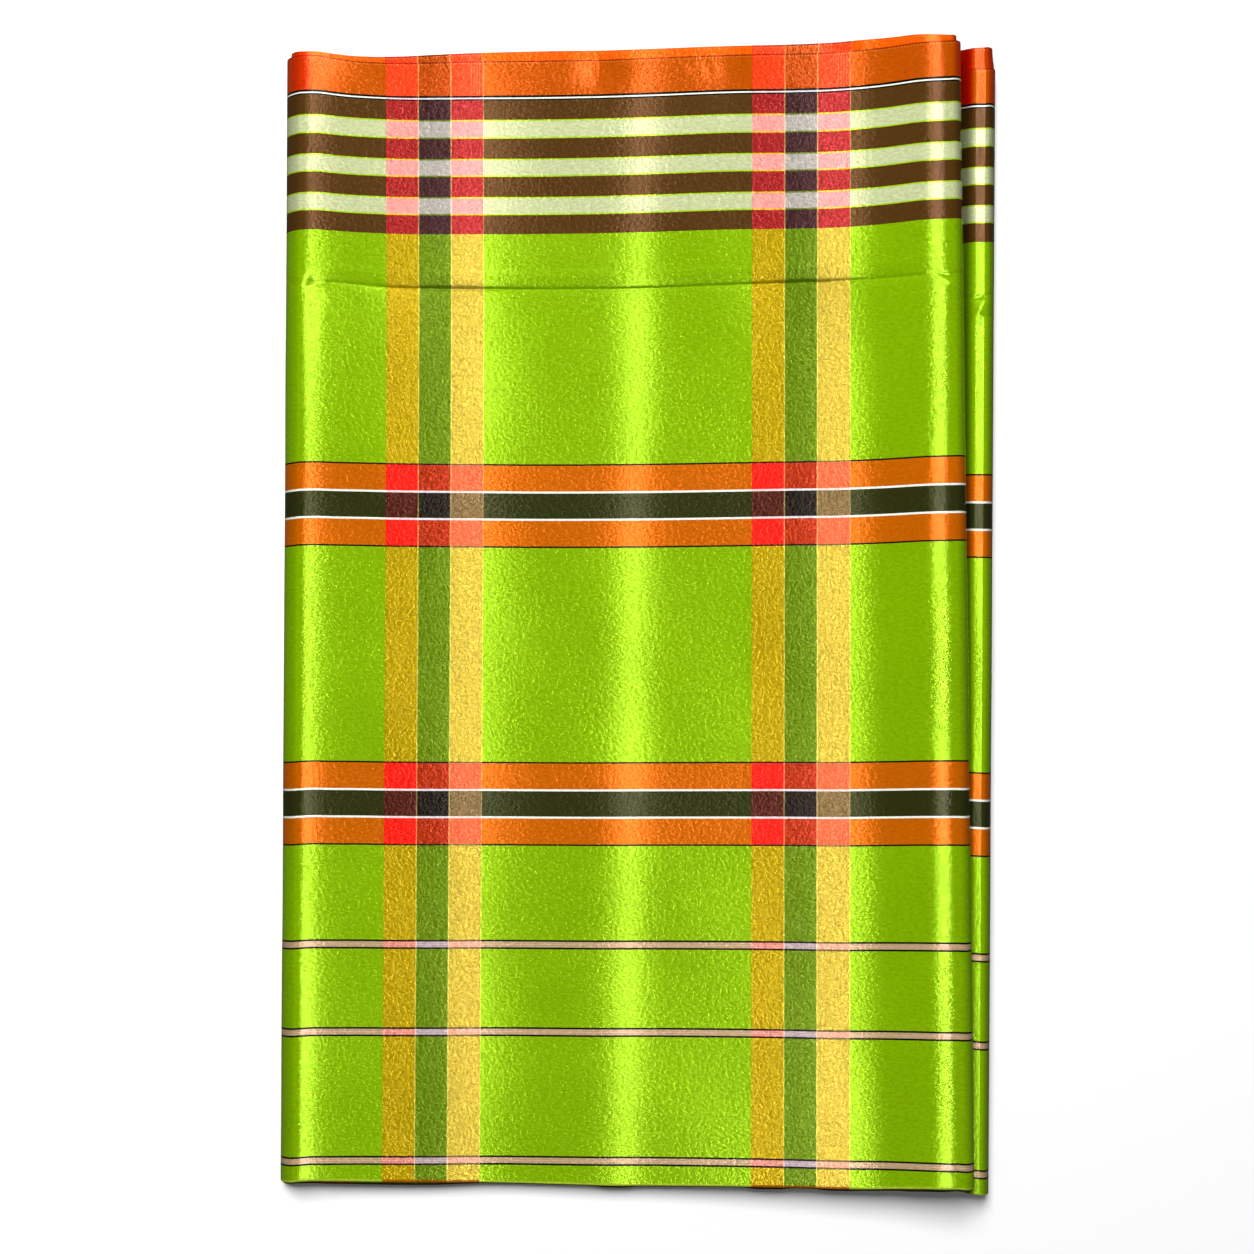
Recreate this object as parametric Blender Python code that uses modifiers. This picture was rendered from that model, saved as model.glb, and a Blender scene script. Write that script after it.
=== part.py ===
"""A longyi: one loom-width length of checked satin, folded flat for sale.

The loom width is folded in half, so the two selvedges lie together along the top edge and the
centre fold runs along the bottom edge. The doubled length is then folded to six plies: all of
them turn together at the left fold, and at the right they end in two rolls, the upper one on
the lower one. Every cloth surface is swept from the packet's cross-section, which is drawn
once, at mid-length, and leans and bows from there to the two edges.

Frame: +X to the right roll, +Y to the selvedges, +Z up; the origin is the bottom centre.
"""

import math
from collections import namedtuple

import bmesh
import bpy
from mathutils import Vector

for old in list(bpy.data.objects):
    bpy.data.objects.remove(old, do_unlink=True)

MM = 0.001

# Cloth.
LOOM_WIDTH = 1.10
TAKE_UP = 3.7 * MM              # what creases and the centre fold take out of half the width
PLY = 1.0 * MM                  # wall of one layer of cloth
GAP = 0.3 * MM                  # air between two layers
ONE_IN = PLY + GAP              # depth of what lies under one layer
TWO_IN = 2 * ONE_IN             # depth of what lies under two layers

# Packet.
MIDDLE_SELVEDGE = 273.2 * MM    # y of the front selvedge at mid-width
HALF_LENGTH = LOOM_WIDTH / 4    # from mid-length to either edge
STRIP = 40 * MM                 # how far an inner half is laid under the outer one
CREASE = 111.5 * MM             # from the selvedge to the crease across the front
CREASE_DEPTH = 0.8 * MM
CREASE_WIDTH = 3.5 * MM
CREASE_STEPS = (-2.0, -0.8, 0.0, 0.8, 2.0)  # where its rows lie, in crease widths
DROOP_REACH = 26 * MM           # how far from the selvedge the front edge starts to droop
CENTRE_FOLD = PLY + GAP / 2     # outer radius of the fold along the bottom edge
CURL_STEPS = 4
FOLD_TAIL = 3 * MM

MERGE = 0.001 * MM

# Where the rows lie, from the selvedge: over the drooping edge, and over the crease.
DROOP_ROWS = (0.0, DROOP_REACH / 3, DROOP_REACH * 2 / 3, DROOP_REACH)
CREASE_ROWS = tuple(CREASE + step * CREASE_WIDTH for step in CREASE_STEPS)

# The hidden layers' edges. Each layer's edge stands clear of a groove between it and the next.
# setback: millimetres in from the selvedges, or up from the centre fold.
# inward: how far towards the middle of the plies, from 0 to 1.
LayerRow = namedtuple("LayerRow", "setback inward")
CUT_LAYERS = [LayerRow(*row) for row in (
    (2.0, 0.0),
    (2.0, 0.25),
    (7.0, 0.33),
    (-1.0, 0.41),
    (-1.0, 0.64),
    (5.0, 0.71),
    (0.5, 0.79),
    (0.5, 1.0),
)]
FOLDED_LAYERS = [LayerRow(*row) for row in (
    (1.0, 0.0),
    (-0.6, 0.12),
    (0.6, 0.26),
    (4.5, 0.33),
    (1.6, 0.40),
    (0.4, 0.53),
    (1.6, 0.64),
    (5.0, 0.71),
    (0.9, 0.78),
    (-0.3, 0.90),
    (-0.3, 1.0),
)]

# The front from the crest of the left fold to the crest of the upper roll, in millimetres.
# lean: how far the top edge lies to the right of mid-length, and the bottom edge to the left.
# bow: how far the weft lines rise above their height at mid-width.
# droop: how far the top edge falls. lip: how far the inner half shows past the selvedge.
FrontRow = namedtuple("FrontRow", "x height lean bow droop lip")
FRONT = [FrontRow(*row) for row in (
    (-163.0, 15.5, 2.4, 0.7, 0.0, 2.5),
    (-156.0, 15.3, 2.6, 0.9, 0.3, 2.6),
    (-148.0, 14.6, 2.6, 1.0, 1.6, 2.8),
    (-133.0, 12.3, 2.4, 0.8, 2.2, 3.2),
    (-118.0, 10.3, 2.2, 0.5, 1.5, 3.6),
    (-97.0, 8.9, 2.0, 0.3, 0.6, 4.2),
    (-75.0, 8.1, 2.2, 0.2, 0.1, 4.6),
    (-47.0, 8.0, 3.0, 0.0, 0.0, 5.0),
    (-17.0, 8.9, 4.2, 0.0, 0.0, 4.9),
    (14.0, 11.1, 3.6, 0.2, 0.0, 5.0),
    (45.0, 14.1, 1.0, 0.5, 0.0, 5.1),
    (76.0, 16.7, -2.0, 0.8, 0.0, 5.6),
    (97.0, 19.0, -3.4, 0.9, 0.0, 6.0),
    (112.0, 21.5, -3.2, 1.2, 0.0, 5.9),
    (124.0, 24.3, -2.8, 1.7, 0.0, 5.7),
    (136.0, 27.1, -2.5, 2.2, 0.0, 5.4),
    (147.0, 28.2, -2.4, 2.5, 0.0, 4.6),
)]

# The face between the two rolls, from the slot's inner end to the crest of the lower roll.
SlotRow = namedtuple("SlotRow", "x height lean")
SLOT = [SlotRow(*row) for row in (
    (112.0, 10.7, -3.0),
    (124.0, 12.2, -3.1),
    (136.0, 13.5, -3.2),
    (147.0, 14.2, -3.3),
    (158.0, 14.6, -0.6),
    (166.5, 14.6, 1.7),
)]

# The underside lies flat. selvedge and fold are the y of its two edges.
BackRow = namedtuple("BackRow", "x selvedge fold lip")
BACK = [BackRow(*row) for row in (
    (-163.0, 271.9, -273.4, 3.5),
    (-75.0, 271.3, -273.6, 4.0),
    (-17.0, 270.6, -274.0, 5.0),
    (45.0, 269.6, -275.0, 6.0),
    (112.0, 268.2, -276.8, 7.5),
    (147.0, 267.3, -278.5, 8.8),
    (166.5, 266.7, -280.0, 9.7),
)]
BACK_LEAN = 1.7 * MM
SLOT_SETBACK = 4.0              # millimetres from the slot's end back to the middle of the plies

LEFT_FOLD_REACH = 10.3 * MM     # from the left crest to the fold's outer edge
UPPER_ROLL_REACH = 11.8 * MM
LOWER_ROLL_REACH = 6.8 * MM
UPPER_ROLL_LEAN = -3.35 * MM
LEFT_FOLD_STEPS = 8
ROLL_STEPS = 6
MID_REACH = 0.45                # how far the middle plies reach into a fold

# x, z: outer face at mid-length; mid_x, mid_z: the middle of the plies there.
Station = namedtuple(
    "Station", "x z lean top bottom lip droop crease mid_x mid_z mid_lean mid_top mid_bottom")

# A line across the stations: its distance in from an edge, and its depth under the face.
# inward goes from 0 at that depth to 1 in the middle of the plies.
Row = namedtuple("Row", "edge distance depth inward", defaults=(0.0, 0.0))
TOP, LIP, BOTTOM = "selvedge", "inner selvedge", "centre fold"


def lerp(a, b, t):
    return a + (b - a) * t


def ease(t):
    """A smooth step from 0 to 1."""
    t = min(1.0, max(0.0, t))
    return t * t * (3 - 2 * t)


def between(rows, x, column):
    """One column of a table, read between its rows at x."""
    for low, high in zip(rows, rows[1:]):
        if x <= high.x:
            t = max(0.0, (x - low.x) / (high.x - low.x))
            return lerp(getattr(low, column), getattr(high, column), t)
    return getattr(rows[-1], column)


def front_edges(x):
    """y of the selvedge and of the centre fold on the front, in metres."""
    bow = between(FRONT, x, "bow") * MM
    top = MIDDLE_SELVEDGE + bow
    return top, top - LOOM_WIDTH / 2 + TAKE_UP


def back_edges(x):
    return between(BACK, x, "selvedge") * MM, between(BACK, x, "fold") * MM


def middle(x, low, high, lean):
    """The middle of the plies at x, in millimetres, between two heights. Where the rolls part
    it keeps behind the slot's end, so that the layered edges don't reach into the slot."""
    if x == SLOT[0].x:
        x, lean = x - SLOT_SETBACK, SLOT[0].lean
    front_top, front_bottom = front_edges(x)
    back_top, back_bottom = back_edges(x)
    return dict(mid_x=x * MM, mid_z=(low + high) / 2 * MM, mid_lean=lean * MM,
                mid_top=(front_top + back_top) / 2, mid_bottom=(front_bottom + back_bottom) / 2)


def front_station(row):
    top, bottom = front_edges(row.x)
    over_slot = row.x >= SLOT[0].x
    low = between(SLOT, row.x, "height") if over_slot else 0.0
    return Station(row.x * MM, row.height * MM, row.lean * MM, top, bottom, row.lip * MM,
                   row.droop * MM, 1.0, **middle(row.x, low, row.height, row.lean / 2))


def slot_stations(side):
    """The roll's face in the slot: side is +1 under the upper roll and -1 over the lower one."""
    reach = FRONT[-1].x if side > 0 else SLOT[-1].x
    stations = []
    for row in SLOT:
        if row.x >= reach:
            break
        face = row.height * MM + side * GAP / 2
        if side > 0:
            top, bottom = front_edges(row.x)
            high = between(FRONT, row.x, "height")
            lip = between(FRONT, row.x, "lip")
            mid = middle(row.x, row.height, high, between(FRONT, row.x, "lean") / 2)
        else:
            top, bottom = back_edges(row.x)
            lip = between(BACK, row.x, "lip")
            mid = middle(row.x, 0.0, row.height, BACK_LEAN / MM / 2)
        stations.append(Station(row.x * MM, face, row.lean * MM, top, bottom, lip * MM,
                                0.0, 0.0, **mid))
    return stations


def under_station(x):
    top, bottom = back_edges(x)
    if x < SLOT[0].x:
        high, lean = between(FRONT, x, "height"), between(FRONT, x, "lean") / 2
    else:
        high, lean = between(SLOT, x, "height"), BACK_LEAN / MM / 2
    return Station(x * MM, 0.0, BACK_LEAN, top, bottom, between(BACK, x, "lip") * MM,
                   0.0, 0.0, **middle(x, 0.0, high, lean))


def fold_stations(start, end, reach, lean, steps):
    """A half-ellipse from one crest to the other, out by reach and back."""
    centre_z, half_height = (start.z + end.z) / 2, (start.z - end.z) / 2
    stations = []
    for step in range(1, steps):
        angle = math.pi * step / steps
        t = step / steps
        out = math.sin(angle)
        stations.append(Station(
            start.x + reach * out, centre_z + half_height * math.cos(angle),
            lerp(lerp(start.lean, end.lean, t), lean, out),
            lerp(start.top, end.top, t), lerp(start.bottom, end.bottom, t),
            lerp(start.lip, end.lip, t), lerp(start.droop, end.droop, t), start.crease * (1 - t),
            start.mid_x + MID_REACH * reach * out, start.mid_z,
            lerp(start.mid_lean, lean, out), start.mid_top, start.mid_bottom))
    return stations


def cross_section():
    """Stations round the packet: under the upper roll, round it, along the front to the left,
    round the left fold, along the underside, round the lower roll and back over it."""
    front = [front_station(row) for row in reversed(FRONT)]
    under_roll = slot_stations(1)
    roll_crest = front[0]
    roll_foot = roll_crest._replace(
        z=between(SLOT, FRONT[-1].x, "height") * MM + GAP / 2,
        lean=between(SLOT, FRONT[-1].x, "lean") * MM, crease=0.0)
    upper_roll = fold_stations(roll_foot, roll_crest, UPPER_ROLL_REACH, UPPER_ROLL_LEAN, ROLL_STEPS)
    left_foot = under_station(FRONT[0].x)
    seam = under_station(FRONT[1].x)
    left_fold = fold_stations(front[-1], left_foot, -LEFT_FOLD_REACH, BACK_LEAN, LEFT_FOLD_STEPS)
    under_x = [row.x for row in FRONT[2:]] + [row.x for row in SLOT if row.x > FRONT[-1].x]
    under = [under_station(x) for x in under_x]
    over_roll = slot_stations(-1)
    lower_crest = under[-1]._replace(z=SLOT[-1].height * MM - GAP / 2)
    lower_roll = fold_stations(under[-1], lower_crest, LOWER_ROLL_REACH, BACK_LEAN, ROLL_STEPS)
    front_stretch = under_roll + [roll_foot] + upper_roll + front + left_fold + [left_foot, seam]
    back_stretch = [seam] + under + lower_roll + [lower_crest] + over_roll[::-1]
    return front_stretch, back_stretch


def edge_y(station, row):
    if row.edge == BOTTOM:
        return lerp(station.bottom, station.mid_bottom, row.inward) + row.distance
    lip = station.lip if row.edge == LIP else 0.0
    return lerp(station.top, station.mid_top, row.inward) + lip - row.distance


def sag(station, y):
    """How far the face lies lower than at mid-length: the crease and the drooping edge."""
    below_selvedge = station.top - y
    crease = CREASE_DEPTH * math.exp(-((below_selvedge - CREASE) / CREASE_WIDTH) ** 2)
    return crease * station.crease + station.droop * ease(1.0 - below_selvedge / DROOP_REACH)


def place(station, normal, row):
    """The point of a row at a station, in metres."""
    y = edge_y(station, row)
    run = y / HALF_LENGTH
    face = Vector((station.x + station.lean * run, y, station.z - sag(station, y)))
    face -= normal * row.depth
    mid = Vector((station.mid_x + station.mid_lean * run, y, station.mid_z))
    return face.lerp(mid, row.inward)


def outward_normals(stations, closed=False):
    """The outward direction in the cross-section at each station."""
    normals = []
    count = len(stations)
    for i, station in enumerate(stations):
        before = stations[i - 1] if i or closed else station
        after = stations[(i + 1) % count] if i + 1 < count or closed else station
        normals.append(Vector((after.z - before.z, 0, before.x - after.x)).normalized())
    return normals


def outer_rows():
    """The outer half, from its selvedge to the centre fold and round it."""
    rows = [Row(TOP, distance) for distance in DROOP_ROWS + CREASE_ROWS]
    rows.append(Row(BOTTOM, CENTRE_FOLD))
    for step in range(1, CURL_STEPS + 1):
        angle = math.pi * step / CURL_STEPS
        rows.append(Row(BOTTOM, CENTRE_FOLD * (1 - math.sin(angle)),
                        CENTRE_FOLD * (1 - math.cos(angle))))
    rows.append(Row(BOTTOM, CENTRE_FOLD + FOLD_TAIL, 2 * CENTRE_FOLD))
    return rows


def inner_rows():
    """The strip of the inner half that is laid under the outer selvedge."""
    rows = [Row(LIP, 0.0, ONE_IN)]
    return rows + [Row(TOP, distance, ONE_IN) for distance in DROOP_ROWS + (STRIP,)]


def core_rows():
    """The hidden plies, from the middle at the top edge, over the face, to the middle below."""
    rows = [Row(TOP, layer.setback * MM, TWO_IN, layer.inward) for layer in reversed(CUT_LAYERS)]
    rows += [Row(TOP, distance, TWO_IN) for distance in DROOP_ROWS[1:]]
    rows += [Row(TOP, STRIP + GAP, TWO_IN), Row(TOP, STRIP + GAP, ONE_IN)]
    rows += [Row(TOP, distance, ONE_IN) for distance in CREASE_ROWS]
    tail = CENTRE_FOLD + FOLD_TAIL + GAP
    rows += [Row(BOTTOM, tail, ONE_IN), Row(BOTTOM, tail, TWO_IN)]
    rows += [Row(BOTTOM, layer.setback * MM, TWO_IN, layer.inward) for layer in FOLDED_LAYERS]
    return rows


def make_object(name, mesh, material):
    item = bpy.data.objects.new(name, mesh)
    mesh.materials.append(material)
    mesh.shade_smooth()
    packet.objects.link(item)
    return item


def make_ply(name, stations, rows, material):
    """One layer of cloth: a sheet over the stations and rows, with Solidify for its wall."""
    bm = bmesh.new()
    grid = [[bm.verts.new(place(station, normal, row)) for row in rows]
            for station, normal in zip(stations, outward_normals(stations))]
    for near, far in zip(grid, grid[1:]):
        for i in range(len(rows) - 1):
            bm.faces.new((near[i], far[i], far[i + 1], near[i + 1]))
    mesh = bpy.data.meshes.new(name)
    bm.to_mesh(mesh)
    bm.free()
    ply = make_object(name, mesh, material)
    wall = ply.modifiers.new("wall", "SOLIDIFY")
    wall.thickness = PLY
    wall.offset = -1
    return ply


def make_core(name, stations, rows, material):
    """The hidden plies: a loft round the closed section, closed on the middle of the plies."""
    normals = outward_normals(stations, closed=True)
    bm = bmesh.new()
    rings = [[bm.verts.new(place(station, normal, row)) for station, normal in zip(stations, normals)]
             for row in rows]
    count = len(stations)
    for upper, lower in zip(rings, rings[1:]):
        for i in range(count):
            j = (i + 1) % count
            bm.faces.new((upper[i], lower[i], lower[j], upper[j]))
    bmesh.ops.remove_doubles(bm, verts=bm.verts, dist=MERGE)
    bmesh.ops.holes_fill(bm, edges=[edge for edge in bm.edges if edge.is_boundary], sides=3)
    bmesh.ops.recalc_face_normals(bm, faces=bm.faces)
    mesh = bpy.data.meshes.new(name)
    bm.to_mesh(mesh)
    bm.free()
    return make_object(name, mesh, material)


def satin(name, colour):
    material = bpy.data.materials.new(name)
    material.use_nodes = True
    shader = material.node_tree.nodes["Principled BSDF"]
    shader.inputs["Base Color"].default_value = (*colour, 1.0)
    shader.inputs["Roughness"].default_value = 0.4
    shader.inputs["Metallic"].default_value = 0.0
    material.diffuse_color = (*colour, 1.0)
    return material


packet = bpy.data.collections.new("longyi")
bpy.context.scene.collection.children.link(packet)

# The core stands a gap behind the slot's inner end, and the back a gap from the front's end.
front, back = cross_section()
section = front + back[1:]
slot_end = [section[0]._replace(x=section[0].x - GAP)]
section = slot_end + section[1:-1] + [section[-1]._replace(x=section[-1].x - GAP)]
back[0] = back[0]._replace(x=back[0].x + GAP)

plies = [
    make_ply("front_outer_half", front, outer_rows(), satin("green satin", (0.24, 0.46, 0.002))),
    make_ply("front_inner_half", front, inner_rows(), satin("orange border", (0.72, 0.13, 0.003))),
    make_ply("back_outer_half", back, outer_rows(), satin("green satin, back", (0.18, 0.36, 0.002))),
    make_ply("back_inner_half", back, inner_rows(), satin("red border", (0.68, 0.02, 0.001))),
    make_core("hidden_layers", section, core_rows(), satin("plies between", (0.12, 0.24, 0.004))),
]

lay = bpy.data.objects.new("longyi", None)
packet.objects.link(lay)
for ply in plies:
    ply.parent = lay
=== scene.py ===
"""A longyi: one loom-width length of checked satin, folded to a flat packet for sale.

The loom width is folded in half along the bottom edge, then the doubled length is folded to
six plies, which end in two rolls at the right. Lengths in the tables are in millimetres.
"""

import math
from collections import namedtuple

import bpy
import numpy as np
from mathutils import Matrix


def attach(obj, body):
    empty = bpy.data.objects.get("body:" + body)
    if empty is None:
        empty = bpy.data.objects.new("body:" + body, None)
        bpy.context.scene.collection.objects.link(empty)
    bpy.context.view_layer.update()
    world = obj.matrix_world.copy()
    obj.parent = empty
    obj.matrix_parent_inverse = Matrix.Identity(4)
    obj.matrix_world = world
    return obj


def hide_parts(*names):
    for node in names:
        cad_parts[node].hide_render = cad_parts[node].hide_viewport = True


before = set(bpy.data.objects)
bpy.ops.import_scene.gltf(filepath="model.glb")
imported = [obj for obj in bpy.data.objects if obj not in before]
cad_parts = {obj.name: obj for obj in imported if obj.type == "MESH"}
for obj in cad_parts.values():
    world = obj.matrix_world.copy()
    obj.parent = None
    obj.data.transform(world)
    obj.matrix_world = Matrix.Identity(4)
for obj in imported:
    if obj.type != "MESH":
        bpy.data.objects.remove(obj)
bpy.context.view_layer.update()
bpy.ops.object.select_all(action="DESELECT")


# --- Front, outer half -------------------------------------------------------------------
# The half of the loom width that faces up: from its selvedge at the top edge to the centre
# fold at the bottom. It lies over the whole front, round the left fold and round the upper
# roll. Warp-faced satin, pressed, with one hard crease across it from an earlier folding.

MM = 0.001
HALF_WIDTH = 546.3              # from a selvedge to the centre fold
MIDDLE_SELVEDGE = 273.2         # y of the front selvedge at mid-width
EDGE = 275.0                    # from mid-length to either edge
WALL = 0.35                     # one layer of satin
SMOOTH_ANGLE = math.radians(60)
FOLD_DEPTH = 1.2                # how far round the centre fold reaches
CREASE = 111.4                  # from the selvedge down to the crease

# tilt: how fast the face rises towards the right at mid-length.
TiltRow = namedtuple("TiltRow", "x tilt")
TILT = [TiltRow(*row) for row in (
    (-164.3, 0.0), (-163.0, -0.055), (-161.5, -0.105), (-160.0, -0.130), (-158.0, -0.130),
    (-156.6, -0.122), (-154.0, -0.104),
    (-150.0, -0.084), (-142.0, -0.064), (-130.0, -0.052), (-118.0, -0.043), (-106.0, -0.036),
    (-98.0, -0.037), (-91.0, -0.045), (-85.0, -0.053), (-78.7, -0.053), (-72.7, -0.038),
    (-67.0, -0.024), (-61.0, -0.008), (-55.0, 0.005), (-48.0, 0.020), (-30.0, 0.040),
    (-19.0, 0.043), (-10.0, 0.029), (-1.5, 0.0130), (7.0, 0.044), (14.0, 0.066), (25.0, 0.079),
    (35.0, 0.086), (48.0, 0.094), (60.0, 0.106), (70.0, 0.113), (78.0, 0.114), (84.0, 0.105),
    (89.0, 0.099), (95.0, 0.0985), (100.0, 0.102), (106.4, 0.119), (112.0, 0.143), (118.0, 0.186),
    (126.0, 0.240), (134.0, 0.250), (138.5, 0.210), (142.0, 0.153), (144.5, 0.126), (146.5, 0.110),
    (148.2, 0.088), (149.8, 0.050), (151.2, 0.0),
)]
THINNEST_X, THINNEST = -53.0, 7.8  # where the packet is thinnest, and how thick it is there

# lean: how far the top edge lies to the right of mid-length. grain: the same for the warp.
# bow: how far the weft lines rise, and lift: how much more they rise near the top edge.
# dip: how far the top edge dips. lip: how far the inner half shows past the selvedge.
# crease: how deep the crease is.
FrontRow = namedtuple("FrontRow", "x lean grain bow lift dip lip crease")
FRONT = [FrontRow(*row) for row in (
    (-164.3, 1.6, 1.6, 0.9, 0.0, 0.1, 2.5, 0.40),
    (-156.0, 2.2, 1.6, 1.2, 0.1, 0.3, 2.6, 1.00),
    (-148.0, 2.3, 1.6, 1.0, -0.4, 0.7, 2.8, 1.00),
    (-140.0, 2.4, 1.6, 0.9, -0.9, 1.0, 3.0, 1.10),
    (-133.0, 2.4, 1.6, 0.8, -1.1, 1.1, 3.2, 1.20),
    (-118.0, 2.2, 1.6, 0.5, -1.3, 0.85, 3.6, 1.60),
    (-97.0, 2.0, 1.6, 0.3, -1.0, 0.4, 4.2, 2.20),
    (-75.0, 2.2, 1.6, 0.2, -0.4, 0.1, 4.6, 2.00),
    (-47.0, 3.0, 1.3, 0.0, 0.1, 0.0, 5.0, 1.70),
    (-17.0, 4.2, 1.0, 0.0, 0.4, 0.0, 4.9, 1.70),
    (14.0, 3.6, 0.7, 0.2, 0.9, 0.0, 5.0, 1.80),
    (45.0, 1.0, 0.4, 0.5, 0.9, 0.0, 5.1, 1.80),
    (76.0, -2.0, 0.3, 0.8, -0.2, 0.0, 5.6, 2.30),
    (97.0, -3.4, 0.2, 0.9, -0.4, 0.0, 6.0, 1.80),
    (112.0, -3.2, 0.1, 1.3, -0.2, 0.0, 5.9, 1.40),
    (124.0, -2.8, 0.0, 1.7, 0.1, 0.0, 5.7, 1.20),
    (136.0, -2.5, 0.0, 2.2, 0.5, 0.0, 5.4, 1.00),
    (151.2, -2.4, 0.0, 2.5, 0.5, 0.0, 4.4, 0.60),
)]
LIFT_REACH = 240.0              # how far down from the selvedge the lift is felt
# How far the warp leans left towards the top edge, and how far left of mid-width it is full.
SWAY, SWAY_REACH = 1.3, 60.0
BOTTOM_SLACK = 0.9              # the weft lines lie this much lower by the bottom edge

# The face between the two rolls, from the slot's inner end to the crest of the lower roll.
SlotRow = namedtuple("SlotRow", "x height lean")
SLOT = [SlotRow(*row) for row in (
    (112.0, 10.5, -3.0),
    (124.0, 11.2, -3.1),
    (136.0, 11.3, -3.2),
    (145.0, 11.0, -3.3),
    (151.2, 10.2, -2.5),
    (157.5, 10.2, -0.3),
    (159.6, 11.5, 0.2),
    (161.0, 12.8, 0.6),
    (162.0, 13.55, 0.9),
    (163.0, 13.92, 1.1),
    (164.2, 14.15, 1.3),
    (166.0, 14.44, 1.6),
    (167.6, 14.69, 1.8),
)]

# The underside lies flat, and its lower edges show. top and bottom are the y of its edges.
BackRow = namedtuple("BackRow", "x top bottom lip")
BACK = [BackRow(*row) for row in (
    (-164.3, 271.9, -273.4, 3.5),
    (-75.0, 271.3, -273.6, 4.0),
    (-17.0, 270.6, -274.0, 5.0),
    (45.0, 269.6, -275.0, 6.0),
    (112.0, 268.2, -277.8, 7.5),
    (147.0, 267.3, -279.4, 8.8),
    (167.6, 266.7, -280.3, 9.6),
)]
BACK_LEAN = 1.7
# The lower roll lies pushed up a little, most of all two thirds of the way down.
GatherRow = namedtuple("GatherRow", "v rise")
GATHER = [GatherRow(*row) for row in (
    (0.0, 0.45), (84.0, 1.0), (217.0, 1.1), (290.0, 1.5), (362.0, 2.0), (430.0, 1.2),
    (473.0, 1.2), (547.0, 1.5),
)]
GATHER_FROM = 60.0              # and how far in from the left fold that has grown to the full
# Where the plies between show below the bottom edge. Elsewhere they end between the front's
# edge and the back's, a share of the way from the shorter to the longer.
Peep = namedtuple("Peep", "x reach drop")
PEEPS = [Peep(*row) for row in (
    (-124.0, 41.0, 2.9), (-8.0, 9.0, 1.6), (63.0, 9.0, 1.8), (95.0, 9.0, 1.8), (137.0, 12.0, 1.2),
)]
BETWEEN_EDGES = 0.25
# The centre fold is not quite true: how far it lies above the weft that it should follow.
HemRow = namedtuple("HemRow", "x rise")
HEM = [HemRow(*row) for row in (
    (-150.0, 0.9), (-115.0, 0.5), (0.0, -1.2), (107.0, -0.8), (136.0, 0.4),
)]
HEM_DEPTH = 9.0                 # and how far from the fold the cloth evens that out
SLOT_GAP = 0.3                  # air between the two rolls
ROLLS_PART = (97.0, 112.0)      # where the plies part into the two rolls

LEFT_FOLD_REACH = 8.3           # from a crest to the fold's outer edge
LEFT_FOLD_SAG, LOWER_ROLL_SAG = 1.45, 0.75
UPPER_ROLL_REACH, LOWER_ROLL_REACH = 8.0, 6.2
UPPER_ROLL_LEAN = -3.35
LOOSE_FROM, LOOSE_OVER = 0.4, 0.5  # the height, as a share, where the lower roll's cloth is loose
SEAM_IN = 8.0                   # where the back's sheet starts, in from the left fold's crest
FOLD_FLARE = 0.0045             # the cloth comes out a little at the ends of each fold
MID_REACH = 0.45                # how far the middle plies reach into a fold
EDGE_PULL, EDGE_PULL_REACH = 0.3, 12.0  # the inner half's corner is folded a little tighter
# Column spacing on the front, where nothing shows, and near the folds' crests.
FRONT_STEP, HIDDEN_STEP, EDGE_STEP = 2.3, 9.0, 0.9
NEAR_EDGE = 7.0
FOLD_STEPS, CENTRE_FOLD_ROWS = 15, 9  # stations round a fold, and rows round the centre fold
TILT_STEPS = 3000

# Small folds in the face. long and wide are its reach each way, turn its angle in degrees.
Dent = namedtuple("Dent", "x y long wide turn depth")
DENTS = [Dent(*row) for row in (
    (-159.5, 162.6, 5.0, 0.9, 4, 0.22),
    (-159.0, 160.2, 4.5, 0.8, -3, 0.20),
    (-161.0, 166.5, 4.0, 3.0, 0, -0.15),
    (-157.0, 156.5, 5.0, 3.5, 0, -0.15),
    (-18.0, 268.0, 10.0, 10.5, 97, 0.60),
    (-20.2, 266.0, 4.0, 0.9, -58, 0.10),
    (-14.0, 263.0, 5.0, 1.2, -62, -0.07),
    (44.0, 268.0, 11.0, 13.0, 84, 0.72),
    (28.0, 268.0, 4.0, 1.0, -66, 0.10),
    (34.0, 270.0, 6.0, 1.3, -66, 0.12),
    (38.0, 267.0, 6.0, 1.3, -66, -0.08),
    (80.0, 268.0, 5.0, 1.2, -60, 0.10),
    (84.0, 262.0, 4.0, 1.1, 60, 0.10),
    (148.0, 164.5, 7.0, 1.0, -18, 0.30),
    (152.0, 160.0, 4.0, 1.6, -25, -0.20),
    (164.0, 156.5, 7.0, 1.3, 8, 0.75),
    (162.0, 146.8, 4.0, 1.5, 0, 0.55),
    (169.5, 148.0, 3.0, 1.6, 10, 0.35),
    (166.5, 151.5, 4.0, 2.2, 35, -0.30),
)]
# Long soft swells, from how the plies underneath lie.
Swell = namedtuple("Swell", "wave turn height")
SWELLS = [Swell(*row) for row in (
    (210.0, 12, 0.16), (150.0, 70, 0.12), (96.0, 100, 0.06), (64.0, 35, 0.030), (47.0, 82, 0.022),
)]
# Ripples along the top edge, how soon they fade, and how their spacing drifts.
RIPPLE_WAVE, RIPPLE_HEIGHT, RIPPLE_REACH, RIPPLE_START = 34.0, 0.04, 22.0, 0.6
RIPPLE_DRIFT, RIPPLE_DRIFT_REACH = 0.9, 41.0
DIP_REACH = 26.0                # how far down from the selvedge the dip is felt
DIP_FALL = 0.8                  # how far the face falls there, for each millimetre of dip
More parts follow.
